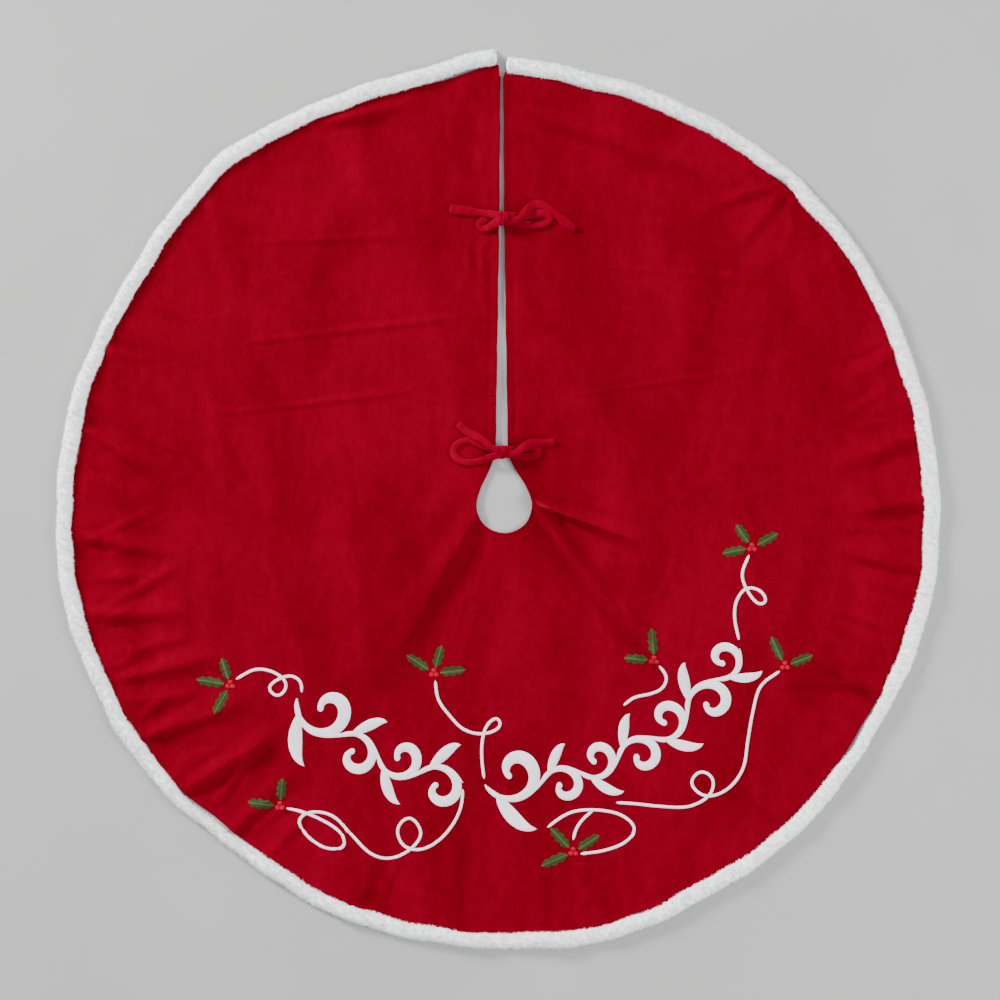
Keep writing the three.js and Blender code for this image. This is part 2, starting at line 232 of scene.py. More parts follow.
def rim_wrinkles():
    """Small wrinkles that run in from the plush, closest where the rim is fullest."""
    rng = random.Random(31)
    wrinkles = []
    # Each stretch of the rim: first and last angle, how many wrinkles, how strong they are
    stretches = (
        (150, 186, 7, 0.8), (186, 244, 18, 1.0), (244, 300, 13, 0.8), (300, 330, 5, 0.5),
        (330, 385, 15, 0.95), (28, 90, 7, 0.35), (95, 148, 8, 0.35),
    )
    for first, last, count, strength in stretches:
        for i in range(count):
            angle = math.radians(first + (last - first) * (i + rng.uniform(0.1, 0.9)) / count)
            lean = math.radians(rng.gauss(0, 13))
            length = rng.uniform(45, 150) * (0.6 + 0.4 * strength)
            start = (WRINKLE_START * math.cos(angle), WRINKLE_START * math.sin(angle))
            run = (length * math.cos(angle + lean), length * math.sin(angle + lean))
            end = (start[0] - run[0], start[1] - run[1])
            rise = strength * rng.uniform(1.2, 2.8) * rng.choice((1, 1, -0.6))
            wrinkles.append((start, end, rng.uniform(3.5, 6.5), rise, 1.4))
    return wrinkles


FOLDS += rim_wrinkles()


def swell(x, y, size, seed):
    """Soft, uneven rise and fall: a few crossing waves of about one size."""
    rng = random.Random(seed)
    total = np.zeros_like(x)
    waves = 7
    for _ in range(waves):
        turn = rng.uniform(0, math.tau)
        pitch = size * rng.uniform(0.7, 1.5)
        shift = rng.uniform(0, math.tau)
        total += np.sin((x * math.cos(turn) + y * math.sin(turn)) * math.tau / pitch + shift)
    return total / math.sqrt(waves)


def rim_ripple(angle):
    """How strongly the rim rises and falls round its length."""
    unrest = 0.75 + 0.45 * np.cos(angle - math.radians(205))
    wave = 1.7 * np.sin(26 * angle + 1.0) + 1.3 * np.sin(39 * angle + 2.1)
    return unrest * (wave + 0.9 * np.sin(61 * angle + 0.4))


def slit_seam(x, y):
    """The turned and stitched edge beside the slit: a low lip, then a groove where it is sewn."""
    share = (y - NECK_Y) / (FACE_RADIUS - NECK_Y)
    half = 0.5 * (SLIT_AT_NECK + (SLIT_AT_RIM - SLIT_AT_NECK) * np.clip(share * 1.5, 0, 1))
    away = np.abs(x - SLIT_X) - half
    lip = 0.7 * np.exp(-(((away - 3.0) / 3.0) ** 2))
    groove = 1.1 * np.exp(-(((away - 10.0) / 2.6) ** 2))
    pucker = 1 + 0.5 * np.sin(y / 7.5 + 2 * np.sin(y / 31))
    return (lip - groove * pucker) * smooth(y, NECK_Y - 10, NECK_Y + 30)


def cloth_height(x, y):
    """Height of the velvet's surface over the floor, in millimetres."""
    x = np.asarray(x, float)
    y = np.asarray(y, float)
    height = np.full_like(x, CLOTH_REST)
    for start, end, width, rise, crisp in FOLDS:
        height += FOLD_DEPTH * ridge(x, y, start, end, width, rise, crisp)
    radius = np.hypot(x, y)
    height += rim_ripple(np.arctan2(y, x)) * smooth(radius, RIPPLE_START, RIPPLE_FULL)
    height += slit_seam(x, y)
    height += 0.8 * swell(x, y, 170, 3) + 0.28 * swell(x, y, 52, 5) + 0.10 * swell(x, y, 21, 8)
    above = height - CLOTH_FLOOR
    return CLOTH_FLOOR + np.where(above > 0, above, 0.12 * above).clip(-0.4)


def rim_shift(angle):
    """How far the rim lies outside its true circle, in millimetres."""
    degrees = np.degrees(angle) % 360
    # Each bulge or hollow: its angle, how far out it goes, and its spread in degrees
    bumps = [
        (16, -5, 18), (48, 2, 8), (128, 9, 7), (151, -8, 12), (192, 6, 8), (210, 3, 9),
        (233, -9, 10), (284, 8, 10), (310, 2, 9), (329, -5, 8),
    ]
    shift = np.zeros_like(degrees)
    for centre, out, wide in bumps:
        away = (degrees - centre + 180) % 360 - 180
        shift += out * np.exp(-((away / wide) ** 2))
    at_slit = degrees - math.degrees(math.atan2(RIM_RADIUS, SLIT_X))
    swing = np.where(at_slit > 0, LEFT_FLAP, RIGHT_FLAP) * np.exp(-((at_slit / FLAP_DEGREES) ** 2))
    wave = 0.7 * np.sin(31 * angle + 0.7) + 0.5 * np.sin(53 * angle + 2.0)
    return shift + swing + wave - RIM_INSET


# ---------------------------------------------------------------- slit and trunk hole


def shoulder(y):
    """0 at the neck of the hole, rising to 1 at the height of its middle."""
    return 0.5 + 0.5 * math.cos(math.pi * min(max(y, 0.0), NECK_Y) / NECK_Y)


def blend(a, b, share):
    return a + (b - a) * min(max(share, 0.0), 1.0)


def gap_edge(side, y):
    """Where the left (-1) or right (+1) edge of the slit or hole is, at a given y."""
    centre = blend(SLIT_X, HOLE_X, shoulder(y))
    if y >= UPPER_BOW[1]:
        share = (y - UPPER_BOW[1]) / (RIM_RADIUS - UPPER_BOW[1])
        half = blend(SLIT_AT_BOW, SLIT_AT_RIM, share) / 2
    elif y >= NECK_Y:
        half = blend(SLIT_AT_NECK, SLIT_AT_BOW, (y - NECK_Y) / (UPPER_BOW[1] - NECK_Y)) / 2
    else:
        half = blend(SLIT_AT_NECK / 2, HOLE_RADIUS, shoulder(y))
    return centre + side * half


def hole_outline():
    """The edge of the trunk hole, from the right of its neck round to the left of it."""
    steps = 40
    heights = [NECK_Y * (1 - i / steps) for i in range(steps)]
    right = [(gap_edge(1, y), y) for y in heights]
    turn = [math.pi * i / (2 * steps) for i in range(2 * steps + 1)]
    round_bottom = [
        (HOLE_X + HOLE_RADIUS * math.cos(a), -HOLE_RADIUS * math.sin(a)) for a in turn
    ]
    left = [(gap_edge(-1, y), y) for y in reversed(heights)]
    return even_points(right + round_bottom + left, 400)


def even_points(points, count):
    """count + 1 points at even distances along a line through the given ones."""
    line = np.array(points, float)
    steps = np.linalg.norm(np.diff(line, axis=0), axis=1)
    reach = np.concatenate([[0], np.cumsum(steps)])
    at = np.linspace(0, reach[-1], count + 1)
    return np.column_stack([np.interp(at, reach, line[:, k]) for k in range(line.shape[1])])


# ---------------------------------------------------------------- mesh helpers


def finish_mesh(bm, name, smooth_faces=True):
    mesh = bpy.data.meshes.new(name)
    bm.to_mesh(mesh)
    bm.free()
    if smooth_faces:
        mesh.shade_smooth()
    piece = bpy.data.objects.new(name, mesh)
    bpy.context.scene.collection.objects.link(piece)
    return piece


def points_of(piece):
    coords = np.empty(len(piece.data.vertices) * 3)
    piece.data.vertices.foreach_get("co", coords)
    return coords.reshape(-1, 3)


def place_points(piece, coords):
    piece.data.vertices.foreach_set("co", np.ascontiguousarray(coords, float).ravel())
    piece.data.update()


def lay_on_cloth(piece):
    """Points hold x and y, and a height over the cloth, in millimetres. This drapes them."""
    coords = points_of(piece)
    coords[:, 2] += cloth_height(coords[:, 0], coords[:, 1])
    place_points(piece, coords * MM)


def lay_under_cloth(piece, depth):
    """Drapes an inner layer below the lowest part of the velvet near each of its points."""
    coords = points_of(piece)
    x, y = coords[:, 0], coords[:, 1]
    lowest = cloth_height(x, y)
    for across, up in ((4, 0), (-4, 0), (0, 4), (0, -4), (3, 3), (-3, 3), (3, -3), (-3, -3)):
        lowest = np.minimum(lowest, cloth_height(x + across, y + up))
    coords[:, 2] = lowest - depth
    place_points(piece, coords * MM)


def seat(piece, slot, *nodes):
    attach(piece, "root")
    if nodes:
        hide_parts(*nodes)


def thicken(piece, thickness):
    """Gives a sheet its thickness, on the under side."""
    wall = piece.modifiers.new("thickness", "SOLIDIFY")
    wall.thickness = thickness * MM
    wall.offset = -1


def unit_tube(name, rings, sides):
    """A closed straight tube up the Z axis, its points, and the number of each point's ring."""
    bm = bmesh.new()
    bmesh.ops.create_cone(bm, cap_ends=True, segments=sides, radius1=1, radius2=1, depth=rings)
    runs = [e for e in bm.edges if abs(e.verts[0].co.z - e.verts[1].co.z) > 0.5 * rings]
    bmesh.ops.subdivide_edges(bm, edges=runs, cuts=rings - 1, use_grid_fill=True)
    tube = finish_mesh(bm, name)
    points = points_of(tube)
    ring = np.clip(np.rint(points[:, 2] + rings / 2).astype(int), 0, rings)
    return tube, points, ring


# ---------------------------------------------------------------- materials


class Finish:
    """A procedural material under construction."""

    def __init__(self, name, colour, roughness):
        self.material = bpy.data.materials.new(name)
        self.material.use_nodes = True
        self.nodes = self.material.node_tree.nodes
        self.links = self.material.node_tree.links
        self.shader = self.nodes["Principled BSDF"]
        self.shader.inputs["Base Color"].default_value = (*colour, 1)
        self.shader.inputs["Roughness"].default_value = roughness
        self.place = self.nodes.new("ShaderNodeTexCoord")

    def mapped(self, source, scale, turn=0.0):
        mapping = self.nodes.new("ShaderNodeMapping")
        mapping.inputs["Scale"].default_value = scale
        mapping.inputs["Rotation"].default_value = (0, 0, turn)
        self.links.new(self.place.outputs[source], mapping.inputs["Vector"])
        return mapping.outputs["Vector"]

    def noise(self, scale, detail=3.0, rough=0.55, vector=None, distort=0.0):
        node = self.nodes.new("ShaderNodeTexNoise")
        node.inputs["Scale"].default_value = scale
        node.inputs["Detail"].default_value = detail
        node.inputs["Roughness"].default_value = rough
        node.inputs["Distortion"].default_value = distort
        self.links.new(vector or self.place.outputs["Object"], node.inputs["Vector"])
        return node.outputs["Fac"]

    def bands(self, scale, vector, distort=0.0):
        node = self.nodes.new("ShaderNodeTexWave")
        node.inputs["Scale"].default_value = scale
        node.inputs["Distortion"].default_value = distort
        node.inputs["Detail"].default_value = 2.0
        node.inputs["Detail Scale"].default_value = 1.5
        self.links.new(vector, node.inputs["Vector"])
        return node.outputs["Fac"]

    def ramp(self, value, stops):
        node = self.nodes.new("ShaderNodeValToRGB")
        while len(node.color_ramp.elements) < len(stops):
            node.color_ramp.elements.new(0.5)
        for element, (place, colour) in zip(node.color_ramp.elements, stops):
            element.position = place
            element.color = (*colour, 1)
        self.links.new(value, node.inputs["Fac"])
        return node.outputs["Color"]

    def mix(self, share, a, b):
        node = self.nodes.new("ShaderNodeMix")
        node.data_type = "RGBA"
        if isinstance(share, (int, float)):
            node.inputs["Factor"].default_value = share
        else:
            self.links.new(share, node.inputs["Factor"])
        self.links.new(a, node.inputs[6])
        self.links.new(b, node.inputs[7])
        return node.outputs[2]

    def math(self, how, a, b=None):
        node = self.nodes.new("ShaderNodeMath")
        node.operation = how
        for socket, value in zip(node.inputs, (a, b)):
            if isinstance(value, (int, float)):
                socket.default_value = value
            elif value is not None:
                self.links.new(value, socket)
        return node.outputs[0]

    def paint(self, colour):
        self.links.new(colour, self.shader.inputs["Base Color"])

    def bump(self, height, distance, strength=1.0):
        node = self.nodes.new("ShaderNodeBump")
        node.inputs["Distance"].default_value = distance
        node.inputs["Strength"].default_value = strength
        self.links.new(height, node.inputs["Height"])
        before = self.shader.inputs["Normal"].links
        if before:
            self.links.new(before[0].from_socket, node.inputs["Normal"])
        self.links.new(node.outputs["Normal"], self.shader.inputs["Normal"])

    def sheen(self, weight, roughness, tint):
        self.shader.inputs["Sheen Weight"].default_value = weight
        self.shader.inputs["Sheen Roughness"].default_value = roughness
        self.shader.inputs["Sheen Tint"].default_value = (*tint, 1)

    def dull(self, specular):
        self.shader.inputs["Specular IOR Level"].default_value = specular


def velvet(name, dark, middle, light):
    finish = Finish(name, middle, 0.9)
    # The lighter and darker streaks and patches in the colour are painted sheen: light thrown back
    # unevenly where the nap lies different ways, over the velvet's own slightly uneven red. The
    # fine pile flecks are the cloth's own tone.
    streaks = finish.mapped("Object", (1.0, 0.38, 1.0), 0.1)
    nap_sheen_noise = finish.noise(11, 4, 0.55, streaks, 0.6)
    painted_nap_sheen = finish.ramp(nap_sheen_noise, [(0.3, dark), (0.5, middle), (0.72, light)])
    crushed_pile_and_sheen = finish.noise(85, 4, 0.65, finish.mapped("Object", (1.0, 0.6, 1.0)), 0.8)
    painted_crush_sheen = finish.ramp(crushed_pile_and_sheen, [(0.3, dark), (0.52, middle), (0.75, light)])
    pile = finish.noise(1150, 2, 0.7)
    flecks = finish.ramp(pile, [(0.32, dark), (0.5, middle), (0.7, light)])
    finish.paint(finish.mix(0.3, finish.mix(0.38, painted_nap_sheen, painted_crush_sheen), flecks))
    finish.bump(crushed_pile_and_sheen, 0.0016, 0.45)
    finish.bump(finish.noise(420, 3, 0.7), 0.0006, 0.6)
    finish.bump(pile, 0.0004, 0.7)
    finish.sheen(0.3, 0.4, (1.0, 0.02, 0.08))
    finish.dull(0.0)
    return finish.material


def plush(name):
    finish = Finish(name, (0.93, 0.93, 0.93), 0.95)
    locks = finish.noise(130, 4, 0.6, None, 0.7)
    finish.paint(finish.ramp(locks, [(0.25, (0.88, 0.89, 0.91)), (0.6, (0.96, 0.96, 0.96))]))
    finish.bump(locks, 0.0015, 0.35)
    finish.bump(finish.noise(900, 2, 0.7), 0.0004, 0.4)
    finish.sheen(0.5, 0.6, (1, 1, 1))
    finish.dull(0.1)
    return finish.material


def satin_stitch(name, dark, light, gloss):
    """Threads laid side by side across a stroke, with a little unevenness from row to row."""
    finish = Finish(name, light, 0.42)
    threads = finish.bands(0.7, finish.mapped("UV", (1, 1, 1), 0.2), 1.2)
    uneven = finish.noise(0.55, 3, 0.6, finish.mapped("UV", (1.0, 0.2, 1.0)))
    shade = finish.math("MULTIPLY", threads, uneven)
    finish.paint(finish.ramp(shade, [(0.05, dark), (0.45, light)]))
    finish.bump(threads, 0.0003, 0.7)
    finish.bump(uneven, 0.0004, 0.4)
    finish.dull(gloss)
    finish.shader.inputs["Anisotropic"].default_value = 0.5
    return finish.material


def leaf_stitch(name):
    """Green satin stitch that slants out from a tan vein."""
    finish = Finish(name, (0.03, 0.12, 0.04), 0.45)
    split = finish.nodes.new("ShaderNodeSeparateXYZ")
    finish.links.new(finish.place.outputs["UV"], split.inputs["Vector"])
    out = finish.math("ABSOLUTE", split.outputs["Y"])
    slant = finish.math("ADD", split.outputs["X"], finish.math("MULTIPLY", out, 0.8))
    joined = finish.nodes.new("ShaderNodeCombineXYZ")
    finish.links.new(slant, joined.inputs["X"])
    threads = finish.bands(0.62, joined.outputs["Vector"], 0.6)
    greens = finish.ramp(threads, [(0.1, (0.0045, 0.020, 0.003)), (0.8, (0.021, 0.065, 0.011))])
    vein = finish.ramp(threads, [(0.1, (0.05, 0.026, 0.006)), (0.8, (0.15, 0.09, 0.028))])
    beside = finish.math("GREATER_THAN", out, VEIN_HALF_WIDTH)
    finish.paint(finish.mix(beside, vein, greens))
    finish.bump(threads, 0.0003, 0.7)
    finish.dull(0.12)
    return finish.material


def woven(name, dark, light):
    finish = Finish(name, light, 0.8)
    warp = finish.bands(420, finish.mapped("Object", (1, 1, 1)), 0.4)
    weft = finish.bands(420, finish.mapped("Object", (1, 1, 1), math.pi / 2), 0.4)
    cloth = finish.math("ADD", warp, weft)
    slub = finish.noise(60, 3, 0.6)
    finish.paint(finish.ramp(finish.math("MULTIPLY", cloth, slub), [(0.2, dark), (0.8, light)]))
    finish.bump(cloth, 0.0002, 0.6)
    finish.sheen(0.15, 0.5, (1, 0.6, 0.6))
    return finish.material


def felted(name):
    finish = Finish(name, (0.8, 0.78, 0.74), 0.95)
    fibres = finish.noise(700, 4, 0.7, None, 1.5)
    finish.paint(finish.ramp(fibres, [(0.3, (0.62, 0.60, 0.56)), (0.7, (0.84, 0.82, 0.78))]))
    finish.bump(fibres, 0.0003, 0.6)
    return finish.material


VELVET = velvet(
    "red_velvet", (0.071, 0.0001, 0.0028), (0.120, 0.0001, 0.0057), (0.177, 0.0002, 0.0102),
)
# The ties are the skirt's own velvet painted about a quarter lighter: a painted highlight for the
# light that the raised ties catch.
LIT_TIE_VELVET = velvet(
    "tie_velvet", (0.090, 0.0001, 0.0040), (0.150, 0.0001, 0.0085), (0.225, 0.0003, 0.0155),
)
PLUSH = plush("white_plush")
WHITE_THREAD = satin_stitch("white_thread", (0.62, 0.56, 0.62), (0.96, 0.94, 0.97), 0.3)
BERRY_THREAD = satin_stitch("berry_thread", (0.20, 0.001, 0.008), (0.42, 0.0015, 0.024), 0.06)
LEAF_THREAD = leaf_stitch("leaf_thread")
LINING = woven("lining_weave", (0.14, 0.002, 0.008), (0.30, 0.008, 0.02))
BACKING = felted("backing_felt")


# ---------------------------------------------------------------- camera, lights, floor


VIEW_WIDTH = 1370.0
VIEW_CENTRE = (0.7, 7.5)


def make_camera():
    """A long lens straight over the skirt."""
    data = bpy.data.cameras.new("camera")
    data.lens = 85
    data.sensor_width = 36
    camera = bpy.data.objects.new("camera", data)
    height = VIEW_WIDTH * data.lens / data.sensor_width
    camera.location = Vector((*VIEW_CENTRE, height + CLOTH_REST)) * MM
    bpy.context.scene.collection.objects.link(camera)
    bpy.context.scene.camera = camera


def make_light(name, place, size, power):
    data = bpy.data.lights.new(name, "AREA")
    data.size = size
    data.energy = power
    light = bpy.data.objects.new(name, data)
    light.location = place
    light.rotation_euler = (-Vector(place)).to_track_quat("-Z", "Y").to_euler()
    bpy.context.scene.collection.objects.link(light)


def make_room():
    """A pale room: soft light all round, a low window light from one side, a fill, a floor."""
    world = bpy.data.worlds.new("room")
    world.use_nodes = True
    background = world.node_tree.nodes["Background"]
    background.inputs["Color"].default_value = (0.95, 0.97, 1, 1)
    background.inputs["Strength"].default_value = 1.15
    bpy.context.scene.world = world
    make_light("window", (-3.9, 2.9, 2.1), 1.1, 710)
    make_light("fill", (3.4, -0.8, 2.8), 2.0, 245)
    bm = bmesh.new()
    bmesh.ops.create_grid(bm, x_segments=1, y_segments=1, size=40)
    floor = finish_mesh(bm, "floor", False)
    finish = Finish("pale_floor", (0.30, 0.297, 0.292), 0.7)
    tone = finish.noise(3, 3)
    finish.paint(finish.ramp(tone, [(0.3, (0.29, 0.287, 0.282)), (0.7, (0.315, 0.312, 0.307))]))
    floor.data.materials.append(finish.material)


# ---------------------------------------------------------------- ties and bows

# A point is (right of the knot, above the knot, height over a tie's resting place), in millimetres

UPPER_LEFT_TIE = [
    (-10, -SPREAD, 0.8), (-6, -SPREAD, LOW), (8, -SPREAD, LOW), (16, -5.5, 1.2), (24, -7.5, 0),
    (42, -8, 0), (55, -6.5, 0), (62, -1, 0), (58, 6, 0), (48, 8, 0), (37, 6.5, 0), (29, 4.4, 0.2),
    (24, 3.8, 0.2), (18, 3.4, 3.6), (12, SPREAD, 8.6), (6, SPREAD, HIGH), (-6, SPREAD, HIGH),
    (-14, 5, 8.6), (-24, 7, 5), (-36, 9, 1), (-50, 11, 0), (-76, 14, 0),
]
UPPER_RIGHT_TIE = [
    (9, SPREAD, LOW), (6, SPREAD, LOW), (-6, SPREAD, LOW), (-12, 3, 1.8), (-19, 1.2, 0.6),
    (-27, -1.2, 0), (-33.5, -3.6, 0), (-36, -8.6, 0), (-32, -13.2, 0), (-26, -12.8, 0.8),
    (-19.5, -9.8, 4), (-13, -6.2, 7.4), (-6, -SPREAD, HIGH), (6, -SPREAD, HIGH), (14, -2.8, HIGH),
    (21, 0, HIGH), (27, 7, HIGH), (33, 14.5, 8), (41, 20.5, 2.5), (50, 20, 0.3), (59, 15, 0),
    (71, 5.5, 0), (84, -6, 0), (96, -15, 0),
]
LOWER_LEFT_TIE = [
    (-12, -SPREAD, 0.6), (-6, -SPREAD, LOW), (6, -SPREAD, LOW), (16, -5, 0.9), (30, -6.5, 0),
    (43, -5.5, 0), (51, -1.5, 0), (50, 4.5, 0), (42, 6.5, 0), (32, 4.8, 0.3), (24.5, 3.6, 0.4),
    (18, 3.3, 4.2), (12, SPREAD, 8.8), (6, SPREAD, HIGH), (-6, SPREAD, HIGH), (-12, 5, 9),
    (-20, 11, 7.5), (-30, 19, 3), (-47, 27, 0), (-61, 39, 0),
]
LOWER_RIGHT_TIE = [
    (13, SPREAD, 0.6), (6, SPREAD, LOW), (-6, SPREAD, LOW), (-13, 4, 1.8), (-30, 10.5, 0),
    (-47, 17, 0), (-60, 13, 0), (-67.5, 3.5, 0), (-64, -7, 0), (-53, -14, 0), (-40, -13.5, 0),
    (-26, -10.5, 2.5), (-15, -7.2, 7), (-6, -SPREAD, HIGH), (6, -SPREAD, HIGH), (14, -2.6, HIGH),
    (21, 0, HIGH), (27, 6, 10), (34, 10.5, 7), (43, 12.5, 2.5), (52, 12.6, 0), (63, 13, 0),
    (73, 14, 0),
]


def soft_curve(points, count):
    """Even points on a smooth curve through the given ones."""
    ends = [2 * np.array(points[0]) - np.array(points[1])]
    ends.append(2 * np.array(points[-1]) - np.array(points[-2]))
    held = [ends[0], *[np.array(p, float) for p in points], ends[1]]
    line = []
    for a, b, c, d in zip(held, held[1:], held[2:], held[3:]):
        knots = [0.0]
        for p, q in ((a, b), (b, c), (c, d)):
            knots.append(knots[-1] + max(float(np.linalg.norm(q - p)), 1e-6) ** 0.5)
        k0, k1, k2, k3 = knots
        for t in np.linspace(k1, k2, 12, endpoint=False):
            ab = a * (k1 - t) / (k1 - k0) + b * (t - k0) / (k1 - k0)
            bc = b * (k2 - t) / (k2 - k1) + c * (t - k1) / (k2 - k1)
            cd = c * (k3 - t) / (k3 - k2) + d * (t - k2) / (k3 - k2)
            abc = ab * (k2 - t) / (k2 - k0) + bc * (t - k0) / (k2 - k0)
            bcd = bc * (k3 - t) / (k3 - k1) + cd * (t - k1) / (k3 - k1)
            line.append(abc * (k2 - t) / (k2 - k1) + bcd * (t - k1) / (k2 - k1))
    line.append(held[-2])
    return even_points(line, count)


def relaxed(line, rounds):
    """The same line with its tight corners let out; its ends stay put."""
    for _ in range(rounds):
        line[1:-1] += 0.25 * (line[:-2] - 2 * line[1:-1] + line[2:])
    return line


def make_tie(node, route, knot, width, seed):
    """A turned velvet ribbon: a flat, soft tube along its route, with blunt ends."""
    resting = FACE_TOP + SEAM_GAP + TIE_DIAMETER / 2
    path = soft_curve([(knot[0] + x, knot[1] + y, resting + lift) for x, y, lift in route], 150)
    path = relaxed(path, 10)
    resting_on_cloth = cloth_height(path[:, 0], path[:, 1]) + TIE_OVER_CLOTH
    path[:, 2] = np.maximum(path[:, 2] + 0.6, resting_on_cloth)
    path[:, 2] = relaxed(path[:, 2].copy(), 8)
    length = float(np.linalg.norm(np.diff(path, axis=0), axis=1).sum())
    rings = len(path) - 1
    piece, flat, ring = unit_tube(f"{node}_ribbon", rings, 14)
    tangent = np.gradient(path, axis=0)
    tangent /= np.linalg.norm(tangent, axis=1)[:, None]
    side_way = np.cross(tangent, (0, 0, 1))
    side_way /= np.linalg.norm(side_way, axis=1)[:, None]
    up_way = np.cross(side_way, tangent)
    at = np.arange(rings + 1) / rings * length
    rng = random.Random(seed)
    shift = rng.uniform(0, math.tau)
    wide = width / 2 * (1 + 0.10 * np.sin(at / 9 + shift) + 0.05 * np.sin(at / 3.7))
    wide *= np.minimum(1, 0.72 + np.minimum(at, length - at) / 9)
    wide *= 1 + TAIL_SPREAD * (at / length) ** 3
    thick = TIE_HALF_THICKNESS + 0.35 * np.sin(at / 7 + 2 * shift)
    thick *= np.minimum(1, 0.55 + np.minimum(at, length - at) / 6)
    lean = 0.2 * np.sin(at / 17 + shift)
    turn = np.arctan2(flat[:, 1], flat[:, 0])
    edge = np.hypot(flat[:, 0], flat[:, 1])
    pillow = np.abs(np.cos(turn)) ** 0.8 * np.sign(np.cos(turn))
    across = edge * wide[ring] * pillow
    over = edge * thick[ring] * np.sin(turn) * (1 - 0.25 * np.abs(np.cos(turn)) ** 6)
    tilted = across * np.cos(lean[ring]) - over * np.sin(lean[ring])
    raised = across * np.sin(lean[ring]) + over * np.cos(lean[ring])
    coords = path[ring] + side_way[ring] * tilted[:, None] + up_way[ring] * raised[:, None]
    place_points(piece, coords * MM)
    return piece, path * MM, length * MM


def make_knot(node, seed):
    """The turn that closes a bow: a band drawn tight round the strands, pleated by the pull."""
    low, high = box_mm(node)
    bm = bmesh.new()
    around, along = 44, 14
    bmesh.ops.create_cone(bm, cap_ends=False, segments=around, radius1=1, radius2=1, depth=2)
    runs = [e for e in bm.edges if abs(e.verts[0].co.z - e.verts[1].co.z) > 1]
    bmesh.ops.subdivide_edges(bm, edges=runs, cuts=along - 1, use_grid_fill=True)
    piece = finish_mesh(bm, f"{node}_band")
    flat = points_of(piece)
    turn = np.arctan2(flat[:, 1], flat[:, 0])
    share = flat[:, 2]
    middle = (low + high) / 2
    half = (high - low) / 2
    rng = random.Random(seed)
    pinch = 1 - 0.16 * share**4 + 0.05 * np.sin(3 * share * math.pi + rng.uniform(0, 6))
    pinch += 0.035 * np.sin(9 * share + 4 * turn + rng.uniform(0, 6))
    squircle = (np.abs(np.cos(turn)) ** 3 + np.abs(np.sin(turn)) ** 3) ** (-1 / 3)
    skew = 1.6 * np.sin(turn + 0.6)
    coords = np.column_stack([
        middle.x + share * (half.x - 0.6) * (0.9 + 0.12 * np.cos(2 * turn)) + skew,
        middle.y + np.cos(turn) * squircle * pinch * (half.y - 0.2),
        middle.z + np.sin(turn) * squircle * pinch * (half.z - 0.4),
    ])
    place_points(piece, coords * MM)
    thicken(piece, KNOT_CLOTH)
    round_edges = piece.modifiers.new("soft", "SUBSURF")
    round_edges.levels = round_edges.render_levels = 1
    return piece


def make_bow(name, knot, left_route, right_route, width, seed):
    band = make_knot(f"{name}_bow_knot", seed)
    band.data.materials.append(LIT_TIE_VELVET)
    seat(band, "tie_velvet", f"{name}_bow_knot")
    for side, route in (("left", left_route), ("right", right_route)):
        node = f"{name}_{side}_tie"
        tie, path, length = make_tie(node, route, knot, width, seed + len(side))
        tie.data.materials.append(LIT_TIE_VELVET)
        seat(tie, "tie_velvet", node)


# ---------------------------------------------------------------- cloth sheets


def fan_sheet(name, columns, rows, past_seam):
    """A sheet with the skirt's outline, spun round from one edge of the slit to the other."""
    bm = bmesh.new()
    first = [bm.verts.new((1 + i / rows, 0, 0)) for i in range(rows + 1)]
    edges = [bm.edges.new(pair) for pair in zip(first, first[1:])]
    sweep = math.radians(350)
    bmesh.ops.spin(
        bm, geom=first + edges, cent=(0, 0, 0), axis=(0, 0, 1), angle=sweep, steps=columns,
        use_duplicate=False,
    )
    piece = finish_mesh(bm, name)
    spun = points_of(piece)
    turn = np.arctan2(spun[:, 1], spun[:, 0]) % math.tau
    turn = np.where(turn > sweep + 0.02, 0.0, turn)
    share = np.clip(turn / sweep, 0, 1)
    out = np.clip(np.hypot(spun[:, 0], spun[:, 1]) - 1, 0, 1)
    inner = even_points(hole_outline(), columns)
    column = np.rint(share * columns).astype(int)
    right = math.atan2(FACE_RADIUS, gap_edge(1, FACE_RADIUS))
    left = math.atan2(FACE_RADIUS, gap_edge(-1, FACE_RADIUS)) - math.tau
    angle = right + (left - right) * share
    reach = FACE_RADIUS + past_seam + rim_shift(angle)
    rim = np.column_stack([reach * np.cos(angle), reach * np.sin(angle)])
    near = np.minimum(column, columns - column)
    side = np.where(share < 0.5, 1, -1)
    from_slit = near * math.tau * FACE_RADIUS / columns
    corner = np.where(side > 0, RIGHT_CORNER, LEFT_CORNER)
    rim[:, 1] -= corner * np.exp(-((from_slit / CORNER_ROUND) ** 2))
    flat = inner[column] + (rim - inner[column]) * out[:, None]
    wanted = np.array([gap_edge(s, y) for s, y in zip(side, flat[:, 1])])
    pull = np.where(out > 0, np.exp(-near / (0.012 * columns)), 0.0)
    flat[:, 0] += (wanted - flat[:, 0]) * pull * (flat[:, 1] > NECK_Y * 0.98)
    place_points(piece, np.column_stack([flat, np.zeros(len(flat))]))
    return piece


def face_up(piece):
    """Turns a sheet's faces to look up."""
    bm = bmesh.new()
    bm.from_mesh(piece.data)
    bmesh.ops.recalc_face_normals(bm, faces=bm.faces)
    bm.faces.ensure_lookup_table()
    if sum(face.normal.z for face in bm.faces[:400]) <= 0:
        bmesh.ops.reverse_faces(bm, faces=bm.faces)
    bm.to_mesh(piece.data)
    bm.free()


def make_face():
    face = fan_sheet("velvet_cloth", 640, 145, FACE_REACH)
    lay_on_cloth(face)
    face_up(face)
    face.data.materials.append(VELVET)
    seat(face, "velvet", "velvet_face")
    return face


def make_lining():
    lining = fan_sheet("lining_cloth", 320, 90, LINING_REACH)
    lay_under_cloth(lining, LINING_DEPTH)
    face_up(lining)
    thicken(lining, LINING_THICKNESS)
    lining.data.materials.append(LINING)
    seat(lining, "lining", "lining")
    return lining


